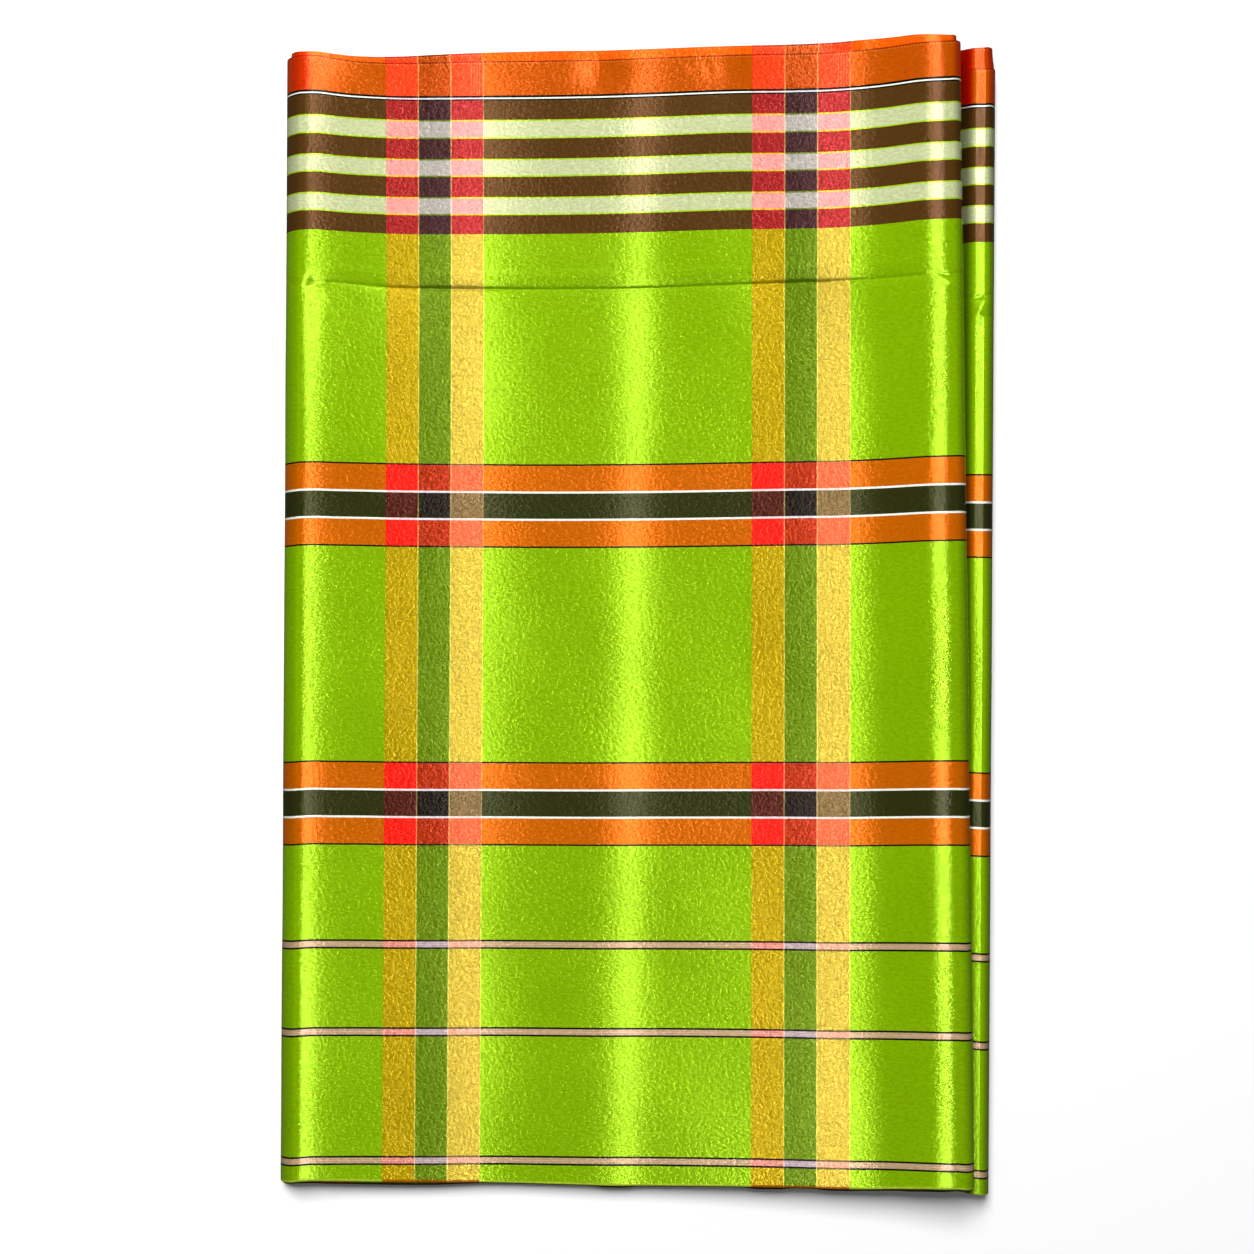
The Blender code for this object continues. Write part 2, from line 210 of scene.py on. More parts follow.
# The crease falls slowly from above, past a low ridge, to a sharp foot. The face stays lower
# below it, and comes up again slowly. The shares are what the foot leaves to the slow parts.
CREASE_FALL, CREASE_FOOT, CREASE_RISE = 3.2, 1.2, 34.0
FALL_SHARE, RISE_SHARE = 0.5, 0.75
CREASE_RIDGE, RIDGE_REACH, RIDGE_HEIGHT = 6.5, 2.2, 0.12
# It wavers, and rises a little from each x on, over each reach.
CREASE_WAVER, WAVER_REACH = 0.15, 23.0
CREASE_LEFT, CREASE_LEFT_REACH, CREASE_LEFT_RISE = -118.0, -30.0, 1.6
CREASE_RIGHT, CREASE_RIGHT_REACH, CREASE_RIGHT_RISE = -10.0, 50.0, 0.9

# The section, station by station: x and z at mid-length, the edges, how much of each feature
# the cloth has there, and where the middle of the plies is.
Path = namedtuple("Path", "x z lean grain top bottom lift gather lip dip crease loose "
                          "mid_x mid_z mid_lean mid_top mid_bottom")
# v: distance from the selvedge on the cloth. inward: 0 at the face, 1 in the middle plies.
# lip: 1 where the inner half's longer edge counts. trim, tuck: what an edge keeps back.
Rows = namedtuple("Rows", "v inward lip trim tuck")


def ease(t):
    t = np.clip(t, 0, 1)
    return t * t * (3 - 2 * t)


def curve(rows, column, x):
    """One column of a table as a smooth curve, read at x."""
    xs = np.array([row.x for row in rows])
    values = np.array([getattr(row, column) for row in rows])
    slopes = np.gradient(values, xs)
    low = np.clip(np.searchsorted(xs, x) - 1, 0, len(xs) - 2)
    step = xs[low + 1] - xs[low]
    t = np.clip((x - xs[low]) / step, 0, 1)
    return (values[low] * (1 + 2 * t) * (1 - t) ** 2 + step * slopes[low] * t * (1 - t) ** 2
            + values[low + 1] * t * t * (3 - 2 * t) - step * slopes[low + 1] * t * t * (1 - t))


def front_height(x):
    """The tilts added up from the thinnest place."""
    fine = np.linspace(FRONT[0].x, FRONT[-1].x, TILT_STEPS)
    tilt = curve(TILT, "tilt", fine)
    rise = np.concatenate([[0], np.cumsum((tilt[1:] + tilt[:-1]) / 2 * np.diff(fine))])
    return THINNEST + np.interp(x, fine, rise) - np.interp(THINNEST_X, fine, rise)


def front_edges(x):
    top = MIDDLE_SELVEDGE + curve(FRONT, "bow", x)
    return top, top - HALF_WIDTH - BOTTOM_SLACK


def back_edges(x):
    return curve(BACK, "top", x), curve(BACK, "bottom", x)


def middle(x, low, high, lean):
    """The middle of the plies at x, between two heights."""
    front_top, front_bottom = front_edges(x)
    back_top, back_bottom = back_edges(x)
    peep = sum(row.drop * np.exp(-((x - row.x) / row.reach) ** 4) for row in PEEPS)
    longer, shorter = np.minimum(front_bottom, back_bottom), np.maximum(front_bottom, back_bottom)
    return dict(mid_x=x, mid_z=(low + high) / 2, mid_lean=lean, mid_top=(front_top + back_top) / 2,
                mid_bottom=longer * BETWEEN_EDGES + shorter * (1 - BETWEEN_EDGES) - peep)


def parted(x):
    """0 where the plies lie together and 1 where they are in two rolls."""
    return ease((x - ROLLS_PART[0]) / (ROLLS_PART[1] - ROLLS_PART[0]))


def over_front(x):
    """The front, from the upper roll to the left fold."""
    top, bottom = front_edges(x)
    height, lean = front_height(x), curve(FRONT, "lean", x)
    low = curve(SLOT, "height", x) * parted(x)
    return Path(x, height, lean, curve(FRONT, "grain", x), top, bottom, curve(FRONT, "lift", x),
                np.zeros_like(x), curve(FRONT, "lip", x),
                curve(FRONT, "dip", x), curve(FRONT, "crease", x), np.ones_like(x),
                **middle(x, low, height, lean / 2))


def in_slot(x, side):
    """The roll's face in the slot: side is 1 under the upper roll and -1 over the lower one."""
    none = np.zeros_like(x)
    face = curve(SLOT, "height", x) + side * SLOT_GAP / 2
    lean = curve(SLOT, "lean", x)
    if side > 0:
        top, bottom = front_edges(x)
        return Path(x, face, lean, none, top, bottom, none, none, curve(FRONT, "lip", x), none,
                    none, none,
                    **middle(x, face, front_height(x), curve(FRONT, "lean", x) / 2))
    top, bottom = back_edges(x)
    shown = ease((x - FRONT[-1].x) / (SLOT[-1].x - FRONT[-1].x))
    return Path(x, face, lean, none, top, bottom, none, 1 + none, curve(BACK, "lip", x), none,
                none, shown,
                **middle(x, none, face, BACK_LEAN / 2 + none))


def under(x):
    """The underside."""
    none = np.zeros_like(x)
    top, bottom = back_edges(x)
    high = front_height(x) * (1 - parted(x)) + curve(SLOT, "height", x) * parted(x)
    gather = ease((x - FRONT[0].x - SEAM_IN) / GATHER_FROM)
    return Path(x, none, BACK_LEAN + none, BACK_LEAN + none, top, bottom, none, gather,
                curve(BACK, "lip", x), none, none, none,
                **middle(x, none, high, BACK_LEAN / 2 + none))


def fold(before, after, reach, lean, sag=1.0):
    """Half an ellipse from the end of one stretch to the start of the next. With a sag over 1
    it reaches out furthest near its end."""
    t = np.arange(1, FOLD_STEPS) / FOLD_STEPS
    out = np.sin(math.pi * t ** sag)
    mix = Path(*(a[-1] + (b[0] - a[-1]) * t for a, b in zip(before, after)))
    centre, half = (before.z[-1] + after.z[0]) / 2, (before.z[-1] - after.z[0]) / 2
    return mix._replace(
        x=mix.x + reach * out, z=centre + half * np.cos(math.pi * t),
        top=mix.top * (1 + FOLD_FLARE * out), bottom=mix.bottom * (1 + FOLD_FLARE * out),
        lean=mix.lean + (lean - mix.lean) * out, grain=mix.grain + (lean - mix.grain) * out,
        mid_x=mix.mid_x + MID_REACH * reach * out,
        mid_lean=mix.mid_lean + (lean - mix.mid_lean) * out)


def joined(*stretches):
    return Path(*(np.concatenate(columns) for columns in zip(*stretches)))


def spaced(start, *stretches):
    """Places from start on. They are even in each stretch, which has an end and a largest step."""
    places = [[start]]
    for end, step in stretches:
        places.append(np.linspace(start, end, 2 + int(abs(end - start) / step))[1:])
        start = end
    return np.concatenate(places)


def packet_paths():
    """The front's path, from the slot round the upper roll and over the front to the left
    fold, and the back's, from there along the underside and round the lower roll."""
    crest, left, tip = FRONT[-1].x, FRONT[0].x, SLOT[-1].x
    seam = left + SEAM_IN
    top_slot = in_slot(spaced(SLOT[0].x, (crest, HIDDEN_STEP)), 1)
    front_face = over_front(spaced(crest, (crest - NEAR_EDGE, EDGE_STEP),
                                   (left + NEAR_EDGE, FRONT_STEP), (left, EDGE_STEP)))
    left_foot = under(spaced(left, (seam, HIDDEN_STEP)))
    below = under(spaced(seam, (tip, HIDDEN_STEP)))
    low_slot = in_slot(spaced(tip, (tip - NEAR_EDGE, EDGE_STEP / 2), (crest, EDGE_STEP),
                              (SLOT[0].x, HIDDEN_STEP)), -1)
    upper_roll = fold(top_slot, front_face, UPPER_ROLL_REACH, UPPER_ROLL_LEAN)
    left_fold = fold(front_face, left_foot, -LEFT_FOLD_REACH, BACK_LEAN, LEFT_FOLD_SAG)
    lower_roll = fold(below, low_slot, LOWER_ROLL_REACH, BACK_LEAN, LOWER_ROLL_SAG)
    height = lower_roll.z / low_slot.z[0]
    lower_roll = lower_roll._replace(loose=ease((height - LOOSE_FROM) / LOOSE_OVER))
    front = joined(top_slot, upper_roll, front_face, left_fold, left_foot)
    return front, joined(below, lower_roll, low_slot)


def arc_length(path):
    return np.concatenate([[0], np.cumsum(np.hypot(np.diff(path.x), np.diff(path.z)))])


def rumple(x, y, below):
    """How far the face lies above its section at each point."""
    height = np.zeros_like(x)
    phases = np.random.default_rng(7).uniform(0, 2 * math.pi, len(SWELLS))
    for swell, phase in zip(SWELLS, phases):
        turn = math.radians(swell.turn)
        along = x * math.cos(turn) + y * math.sin(turn)
        height += swell.height * np.sin(2 * math.pi * along / swell.wave + phase)
    drift = RIPPLE_DRIFT * np.sin(x / RIPPLE_DRIFT_REACH)
    ripple = np.sin(2 * math.pi * x / RIPPLE_WAVE + drift + RIPPLE_START)
    height += RIPPLE_HEIGHT * ripple * np.exp(-below / RIPPLE_REACH)
    for dent in DENTS:
        turn = math.radians(dent.turn)
        dx, dy = x - dent.x, y - dent.y
        along = dx * math.cos(turn) + dy * math.sin(turn)
        across = dy * math.cos(turn) - dx * math.sin(turn)
        height -= dent.depth * np.exp(-(along / dent.long) ** 2 - (across / dent.wide) ** 2)
    return height


def creased(x, below):
    """How far down the crease takes the face at each point, as a share of its depth."""
    past = (below - CREASE - CREASE_WAVER * np.sin(x / WAVER_REACH)
            + CREASE_LEFT_RISE * ease((x - CREASE_LEFT) / CREASE_LEFT_REACH)
            + CREASE_RIGHT_RISE * ease((x - CREASE_RIGHT) / CREASE_RIGHT_REACH))
    above, after = np.minimum(past, 0), np.maximum(past, 0)
    fall = (FALL_SHARE * np.exp(above / CREASE_FALL)
            + (1 - FALL_SHARE) * np.exp(above / CREASE_FOOT))
    rise = (RISE_SHARE * np.exp(-after / CREASE_RISE)
            + (1 - RISE_SHARE) * np.exp(-after / CREASE_FOOT))
    down = np.where(past < 0, fall, rise)
    return down - RIDGE_HEIGHT * np.exp(-((past + CREASE_RIDGE) / RIDGE_REACH) ** 2)


def along_table(rows, by, column, at):
    """One column of a table, read at places along another."""
    places, values = [getattr(row, by) for row in rows], [getattr(row, column) for row in rows]
    return np.interp(at, places, values)


def place(path, rows, u):
    """The points of the rows at each station, and where they are on the cloth."""
    path = Path(*(column[:, None] for column in path))
    rows = Rows(*(column[None, :] for column in rows))
    top = path.top + (path.mid_top - path.top) * rows.inward + path.lip * rows.lip - rows.trim
    bottom = path.bottom + (path.mid_bottom - path.bottom) * rows.inward + rows.tuck
    y = top + (bottom - top) * rows.v / HALF_WIDTH
    y = y + path.lift * ease(1 - rows.v / LIFT_REACH)
    y = y + path.gather * along_table(GATHER, "v", "rise", rows.v)
    hem = along_table(HEM, "x", "rise", path.x) * path.loose
    y = y + hem * ease((rows.v - HALF_WIDTH + HEM_DEPTH) / HEM_DEPTH)
    dip = path.dip * ease(1 - rows.v / DIP_REACH)
    y = y - dip
    run, below = y / EDGE, path.top - y
    x, z = path.x + path.lean * run, path.z + 0 * run
    across, rise = np.gradient(path.x[:, 0]), np.gradient(path.z[:, 0])
    size = np.hypot(across, rise)
    normal_x, normal_z = (rise / size)[:, None], (-across / size)[:, None]
    z = z - DIP_FALL * dip - path.crease * creased(x, below)
    swell = path.loose * rumple(x, y, below)
    x, z = x + normal_x * swell, z + normal_z * swell
    mid_x = path.mid_x + path.mid_lean * run
    mid_z = path.mid_z - DIP_FALL * dip / 2
    pulled_in = rows.inward + EDGE_PULL * (rows.inward > 0) * ease(1 - rows.v / EDGE_PULL_REACH)
    x, z = x + (mid_x - x) * pulled_in, z + (mid_z - z) * rows.inward
    sway = SWAY * ease(-path.x / SWAY_REACH) * np.clip(run, 0, 1) ** 2
    shear = (across / size)[:, None] * ((path.grain - path.lean) * run - sway)
    return np.stack([x, y, z], axis=-1), u[:, None] + shear, rows.v + 0 * run


def ply_rows(v, inward, lip=0.0, trim=0.0, tuck=0.0):
    v = np.asarray(v, float)
    return Rows(*(column + np.zeros_like(v) for column in (v, inward, lip, trim, tuck)))


def centre_fold(outer, inner, tuck=0.0):
    """Rows round the fold from one depth to the other."""
    turn = np.linspace(0, math.pi, CENTRE_FOLD_ROWS)
    return ply_rows(HALF_WIDTH - FOLD_DEPTH * (1 - np.sin(turn)),
                    outer + (inner - outer) * (1 - np.cos(turn)) / 2, tuck=tuck)


def stacked(*rows):
    return Rows(*(np.concatenate(columns) for columns in zip(*rows)))


def sew_sheet(name, path, rows, u, finish):
    """One sheet over the stations and rows, with the wall of one layer of satin."""
    columns, lines = len(path.x), len(rows.v)
    bpy.ops.mesh.primitive_grid_add(x_subdivisions=columns - 1, y_subdivisions=lines - 1, size=1)
    cloth = bpy.context.object
    cloth.name = cloth.data.name = name
    mesh = cloth.data
    flat = np.empty(len(mesh.vertices) * 3)
    mesh.vertices.foreach_get("co", flat)
    column = np.rint((flat[0::3] + 0.5) * (columns - 1)).astype(int)
    line = np.rint((flat[1::3] + 0.5) * (lines - 1)).astype(int)
    points, along, across = place(path, rows, u)
    mesh.vertices.foreach_set("co", (points[column, line] * MM).ravel())
    corner = np.empty(len(mesh.loops), int)
    mesh.loops.foreach_get("vertex_index", corner)
    on_cloth = np.stack([along[column, line], across[column, line]], axis=-1)[corner] * MM
    mesh.uv_layers[0].name = "cloth"
    mesh.uv_layers[0].data.foreach_set("uv", on_cloth.ravel())
    wall = cloth.modifiers.new("wall", "SOLIDIFY")
    wall.thickness, wall.offset = WALL * MM, -1
    bpy.ops.object.modifier_apply(modifier=wall.name)
    bpy.ops.object.shade_smooth_by_angle(angle=SMOOTH_ANGLE)
    mesh.materials.append(finish)
    bpy.ops.object.select_all(action="DESELECT")
    return cloth


class Value:
    """A socket of a finish, so that sums written on it add Math nodes."""

    def __init__(self, socket):
        self.socket = socket

    def node(self, kind, settings, sockets, output=0):
        """Any other node: its settings, then the values or links of its sockets."""
        tree = self.socket.id_data
        made = tree.nodes.new("ShaderNode" + kind)
        for name, value in settings.items():
            if name == "stops":
                ramp = made.color_ramp
                ramp.interpolation = "CONSTANT"
                ramp.elements.remove(ramp.elements[1])
                ramp.elements[0].position, ramp.elements[0].color = value[0]
                for position, colour in value[1:]:
                    ramp.elements.new(position).color = colour
            else:
                setattr(made, name, value)
        for key, value in sockets.items():
            if isinstance(value, Value):
                tree.links.new(value.socket, made.inputs[key])
            else:
                made.inputs[key].default_value = value
        return Value(made.outputs[output])

    def math(self, operation, *others):
        return self.node("Math", {"operation": operation}, dict(enumerate((self, *others))))

    def __add__(self, other):
        return self.math("ADD", other)

    __radd__ = __add__

    def __mul__(self, other):
        return self.math("MULTIPLY", other)

    __rmul__ = __mul__

    def __sub__(self, other):
        return self.math("SUBTRACT", other)

    def __rsub__(self, other):
        return self * -1 + other

    def __truediv__(self, other):
        return self.math("DIVIDE", other)

    def __abs__(self):
        return self.math("ABSOLUTE")

    def __lt__(self, other):
        return self.math("LESS_THAN", other)

    def __gt__(self, other):
        return self.math("GREATER_THAN", other)

    def least(self, other):
        return self.math("MINIMUM", other)

    def most(self, other):
        return self.math("MAXIMUM", other)

    def mixed(self, first, second):
        """Colour first where self is 0 and second where it is 1."""
        return self.node("Mix", {"data_type": "RGBA"}, {0: self, 6: first, 7: second}, output=2)


# The weave across the loom. start: millimetres from the selvedge, or from the band's or the
# line's own middle. ground, yellow, middle: its colour on the ground, and where it crosses the
# yellow stripes and the darker stripe between them.
Weft = namedtuple("Weft", "start ground yellow middle")
# The first row makes a thin darker line along the selvedge's very edge.
SELVEDGE = ((150, 48, 2), (176, 30, 10), (130, 40, 4))
ORANGE = ((188, 80, 0), (238, 62, 20), (172, 66, 0))
BROWN = ((82, 53, 17), (152, 32, 30), (56, 27, 27))
PALE = ((186, 194, 145), (224, 145, 137), (159, 154, 144))
BLACK = ((9, 9, 3), (40, 6, 6), (12, 8, 8))
WHITE = ((226, 229, 218), (228, 202, 202), (210, 206, 208))
LIME = ((166, 206, 24), (222, 176, 24), (92, 112, 30))
GREEN = ((131, 177, 0), (170, 147, 0), (92, 122, 0))
BAND_ORANGE = ((199, 98, 0), (250, 28, 14), (162, 42, 5))
DARK = ((46, 50, 15), (75, 27, 16), (25, 17, 9))
PINK = ((197, 166, 131), (224, 148, 130), (184, 164, 164))
DULL_PINK = ((154, 131, 98), (200, 116, 102), (148, 132, 134))
BORDER_REACH, BAND_REACH, LINE_REACH = 90.0, 25.0, 5.0  # a little past each table's last row
BORDER = [Weft(start, *colours) for start, colours in (
    (0.0, SELVEDGE), (0.45, ORANGE), (16.85, BLACK), (17.6, WHITE), (18.6, BLACK), (19.15, BROWN),
    (28.8, LIME), (29.5, PALE), (37.2, LIME), (37.9, BROWN), (47.6, LIME), (48.3, PALE),
    (55.7, LIME), (56.4, BROWN), (66.1, LIME), (66.8, PALE), (74.3, LIME), (75.0, BROWN),
    (84.5, GREEN),
)]
BAND = [Weft(start, *colours) for start, colours in (
    (0.0, DARK), (6.1, WHITE), (7.1, BAND_ORANGE), (19.6, BLACK), (20.4, GREEN),
)]
LINE = [Weft(start, *colours) for start, colours in (
    (0.0, PINK), (0.35, DULL_PINK), (0.6, PINK), (1.0, DULL_PINK), (1.2, PINK), (1.35, BLACK),
    (2.25, GREEN),
)]
BAND_MIDDLES = (217.0, 361.9)
LINE_MIDDLES = (430.4, 472.9, 535.4)
STRIPE = 15.75                  # each of the three warp stripes in a group
HALF_GROUP = 1.5 * STRIPE
STRIPE_MIDDLE = -98.65          # the middle of a group, along the cloth
STRIPE_REPEAT = 178.2
# Painted sheen: a whitish colour mixed into the last stripe of each group, and how much.
PAINTED_SHEEN, PAINTED_SHEEN_SHARE = (255, 252, 145), 0.095  # in the last stripe of each group
# The light threads' colour, how much of it shows and how much lighter it makes the tone.
PIN_YARN, PIN_SHARE, PIN_LIFT = (255, 240, 140), 0.12, 0.32
# Half a pin line, where two stripes meet and at a group's last edge.
PIN, EDGE_PIN, EDGE_PIN_SHARE = 0.32, 0.224, 0.8
# The comb of lines and the stitches: one repeat, and the share of it that is light.
COMB, COMB_REACH, COMB_LINE, COMB_SHARE = 1.35, 7.0, 0.25, 0.5
STITCH, STITCH_LINE, STITCH_MIDDLE, STITCH_REACH, STITCH_SHARE = 1.5, 0.45, 1.0, 0.35, 0.5
# Places along the cloth: where painted sheen reddens the border at the left fold, and where the
# lower roll goes in under the upper one and painted shade makes it darker and redder.
PAINTED_FOLD_RED_MIDDLE, PAINTED_FOLD_RED_REACH, PAINTED_FOLD_RED_EDGE, PAINTED_FOLD_RED_MOST = -165.0, 7.5, 5.0, 0.7
GAP_EDGE, GAP_REACH, GAP_PAINTED_SHADE, GAP_PAINTED_RED = -545.2, 3.8, 0.58, 1.2
BRIGHT_ORANGE, RED = (244, 95, 3), (214, 22, 2)
# Where the cloth turns away, painted sheen reddens its border and painted shade darkens it:
# for each, how steep it is when that starts, how fast it grows and the most it reaches.
TURN_PAINTED_RED, TURN_PAINTED_RED_RATE, TURN_PAINTED_RED_MOST = 0.20, 1.1, 0.5
TURN_PAINTED_SHADE, TURN_PAINTED_SHADE_RATE, TURN_PAINTED_SHADE_MOST = 0.25, 0.55, 0.3
# The centre fold's rim is painted light: a painted highlight on the outermost ply and painted
# shade on the plies inside. How far it reaches, and at which share of that it is full. Its
# colours are given on the ground and in the stripes.
RIM, RIM_FULL = 1.5, 0.5
Rim = namedtuple("Rim", "ground striped strength")
PAINTED_HIGHLIGHT_RIM = Rim((214, 236, 70), (196, 60, 10), 0.6)
# The grain, by how much of it there is in a metre: fine grain along the weft, a crushed grain
# that is stronger in the stripes, and slow changes. Then what each does to the finish.
FINE, FINE_STRETCH, CRUSHED, SLOW = 1000, 0.42, 620, 28
FINE_TONE, CRUSHED_TONE, STRIPE_TONE, SLOW_TONE, TONE = 0.45, 0.35, 0.45, 0.16, 1.02
ROUGHNESS, SLOW_ROUGHNESS, CRUSHED_ROUGHNESS = 0.125, 0.03, 0.05
FINE_BUMP, CRUSHED_BUMP, STRIPE_BUMP = 0.6, 0.6, 0.9
METALLIC, LEAST_METALLIC, DULL_YARN = 0.30, 0.05, 0.5


def linear(colour):
    """A screen colour from 0 to 255 as light."""
    return (*(c / 12.92 if c <= 0.04045 else ((c + 0.055) / 1.055) ** 2.4
              for c in (channel / 255 for channel in colour)), 1.0)


def weft_colour(v, stripe):
    """The colour across the loom at v, on the ground or under one of the stripes."""
    def ramp(rows, reach, at):
        stops = [(row.start / reach, linear(getattr(row, stripe))) for row in rows]
        return v.node("ValToRGB", {"stops": stops}, {0: at / reach})

    band_at = abs(v - BAND_MIDDLES[0]).least(abs(v - BAND_MIDDLES[1]))
    line_at = abs(v - LINE_MIDDLES[0]).least(abs(v - LINE_MIDDLES[1]))
    line_at = line_at.least(abs(v - LINE_MIDDLES[2]))
    field = (band_at < BAND[-1].start).mixed(ramp(LINE, LINE_REACH, line_at),
                                             ramp(BAND, BAND_REACH, band_at))
    return (v < BORDER[-1].start).mixed(field, ramp(BORDER, BORDER_REACH, v))


def checked_satin(name, red_border=0.0, bright_border=0.0, rim=PAINTED_HIGHLIGHT_RIM):
    """The woven satin, with how far its orange border is red or bright orange all over."""
    material = bpy.data.materials.new(name)
    material.use_nodes = True
    tree = material.node_tree
    shader = tree.nodes["Principled BSDF"]
    uv_map = tree.nodes.new("ShaderNodeUVMap")
    uv_map.uv_map = "cloth"
    on_cloth = Value(uv_map.outputs["UV"])
    split = on_cloth.node("SeparateXYZ", {}, {0: on_cloth})
    u = split * (1 / MM)
    v = Value(split.socket.node.outputs[1]) * (1 / MM)

    # Warp stripes, by how far each place is from the middle of its group.
    group = (u - (STRIPE_MIDDLE - STRIPE_REPEAT / 2)) / STRIPE_REPEAT
    beside = (group - group.math("FLOOR")) * STRIPE_REPEAT - STRIPE_REPEAT / 2
    away = abs(beside)
    in_group, in_middle = away < HALF_GROUP, away < STRIPE / 2
    striped = in_middle.mixed(weft_colour(v, "yellow"), weft_colour(v, "middle"))
    colour = in_group.mixed(weft_colour(v, "ground"), striped)

    # The last stripe of each group gets painted sheen in the field, a lighter whitish mix.
    in_painted_sheen = in_group * (beside > STRIPE / 2) * (v > BORDER[-1].start)
    colour = (in_painted_sheen * PAINTED_SHEEN_SHARE).mixed(colour, linear(PAINTED_SHEEN))

    # Light threads: a pin line where stripes meet and at the group's last edge, a comb of lines
    # beside that edge in the border, and the stitches of the selvedge.
    in_border = v < BORDER[2].start
    edge_pin = (abs(beside - HALF_GROUP) < EDGE_PIN) * EDGE_PIN_SHARE
    pin = (abs(away - STRIPE / 2) < PIN).most(edge_pin)
    in_comb = in_border * (beside > HALF_GROUP - COMB_REACH) * (beside < HALF_GROUP)
    tooth = u / COMB
    pin = pin.most(in_comb * ((tooth - tooth.math("FLOOR")) < COMB_LINE) * COMB_SHARE)
    stitch = u / STITCH
    stitched = (stitch - stitch.math("FLOOR")) < STITCH_LINE
    pin = pin.most(stitched * (abs(v - STITCH_MIDDLE) < STITCH_REACH) * STITCH_SHARE)
    colour = (pin * PIN_SHARE).mixed(colour, linear(PIN_YARN))

    # The orange border is painted red: painted sheen along the left fold and where it turns away,
    # and painted shade in the gap between the rolls.
    facing = on_cloth.node("NewGeometry", {}, {}, output=1)
    steep = abs(facing.node("SeparateXYZ", {}, {0: facing}))
    # Painted shade and painted red where the lower roll goes in under the upper one.
    painted_gap = ((GAP_EDGE - u) / GAP_REACH).most(0.0).least(1.0)
    red = ((steep - TURN_PAINTED_RED) * TURN_PAINTED_RED_RATE).least(TURN_PAINTED_RED_MOST).most(0.0)
    red = red + red_border + painted_gap * GAP_PAINTED_RED
    painted_fold_red = ((PAINTED_FOLD_RED_REACH - abs(u - PAINTED_FOLD_RED_MIDDLE)) / PAINTED_FOLD_RED_EDGE).least(PAINTED_FOLD_RED_MOST)
    colour = (in_border * bright_border * (1 - in_group)).mixed(colour, linear(BRIGHT_ORANGE))
    colour = (in_border * red.most(painted_fold_red).least(1.0)).mixed(colour, linear(RED))

    # Painted light on the centre fold's rim: a painted highlight on the outermost ply and painted
    # shade on the plies inside.
    at_painted_rim = ((v - (HALF_WIDTH - RIM)) * (1 / (RIM_FULL * RIM))).most(0.0).least(1.0)
    painted_rim_colour = in_group.mixed(linear(rim.ground), linear(rim.striped))
    colour = (at_painted_rim * rim.strength).mixed(colour, painted_rim_colour)

    # The threads change the tone, and painted shade darkens it where the cloth turns away and in
    # the gap between the rolls.
    along = on_cloth.node("VectorMath", {"operation": "MULTIPLY"},
                          {0: on_cloth, 1: (FINE_STRETCH, 1.0, 1.0)})
    fine = on_cloth.node("TexNoise", {}, {"Vector": along, "Scale": FINE, "Detail": 1})
    crushed = on_cloth.node("TexNoise", {}, {
        "Vector": on_cloth, "Scale": CRUSHED, "Detail": 2, "Roughness": 0.5, "Distortion": 0.8})
    slow = on_cloth.node("TexNoise", {}, {"Vector": on_cloth, "Scale": SLOW, "Detail": 3})
    tone = ((fine - 0.5) * FINE_TONE + (crushed - 0.5) * (CRUSHED_TONE + STRIPE_TONE * in_group)
            + (slow - 0.5) * SLOW_TONE + pin * PIN_LIFT + TONE)
    painted_turn_shade = ((steep - TURN_PAINTED_SHADE) * TURN_PAINTED_SHADE_RATE).most(0.0).least(TURN_PAINTED_SHADE_MOST)
    tone = tone * (1 - painted_turn_shade) * (1 - painted_gap * GAP_PAINTED_SHADE)
    shade = on_cloth.node("CombineColor", {}, {0: tone, 1: tone, 2: tone})
    colour = on_cloth.node("Mix", {"data_type": "RGBA", "blend_type": "MULTIPLY"},
                           {0: 1.0, 6: colour, 7: shade}, output=2)
    tree.links.new(colour.socket, shader.inputs["Base Color"])
    blue = colour.node("SeparateColor", {}, {0: colour}, output=2)
    metallic = METALLIC - blue * DULL_YARN  # the pale yarns are duller
    tree.links.new(metallic.most(LEAST_METALLIC).socket, shader.inputs["Metallic"])

    roughness = ROUGHNESS + (slow - 0.5) * SLOW_ROUGHNESS + (crushed - 0.5) * CRUSHED_ROUGHNESS
    tree.links.new(roughness.socket, shader.inputs["Roughness"])
    grain = fine * FINE_BUMP + crushed * (CRUSHED_BUMP + STRIPE_BUMP * in_group)
    bump = on_cloth.node("Bump", {}, {"Height": grain, "Strength": 0.5, "Distance": 0.0002})
    tree.links.new(bump.socket, shader.inputs["Normal"])
    shader.inputs["Specular IOR Level"].default_value = 0.17
    shader.inputs["Specular Tint"].default_value = (0.9, 1.0, 0.8, 1.0)
    return material


front_path, back_path = packet_paths()
length = arc_length(joined(front_path, back_path))
at_middle = int(np.argmax(front_path.x < 0))  # the first station past mid-width
either_side = slice(at_middle - 1, at_middle + 1)
start = np.interp(0.0, -front_path.x[either_side], length[either_side])
front_u = start - length[:len(front_path.x)]
back_u = start - length[len(front_path.x):]

satin = checked_satin("checked satin")
OUTER, INNER = 0.0, 0.25        # how deep the two halves of the outermost ply lie
# Rows across the cloth, closest at the crease: where each stretch of them ends, and how far
# apart they are in it.
ABOVE_CREASE, BELOW_CREASE, LAST_ROW = 98.0, 120.0, HALF_WIDTH - 2 * FOLD_DEPTH
AT_CREASE = ((107.0, 1.0), (114.0, 0.35), (BELOW_CREASE, 1.0))
outer_v = spaced(0.0, (9.0, 1.5), (ABOVE_CREASE, 3.0), *AT_CREASE, (LAST_ROW, 3.7))
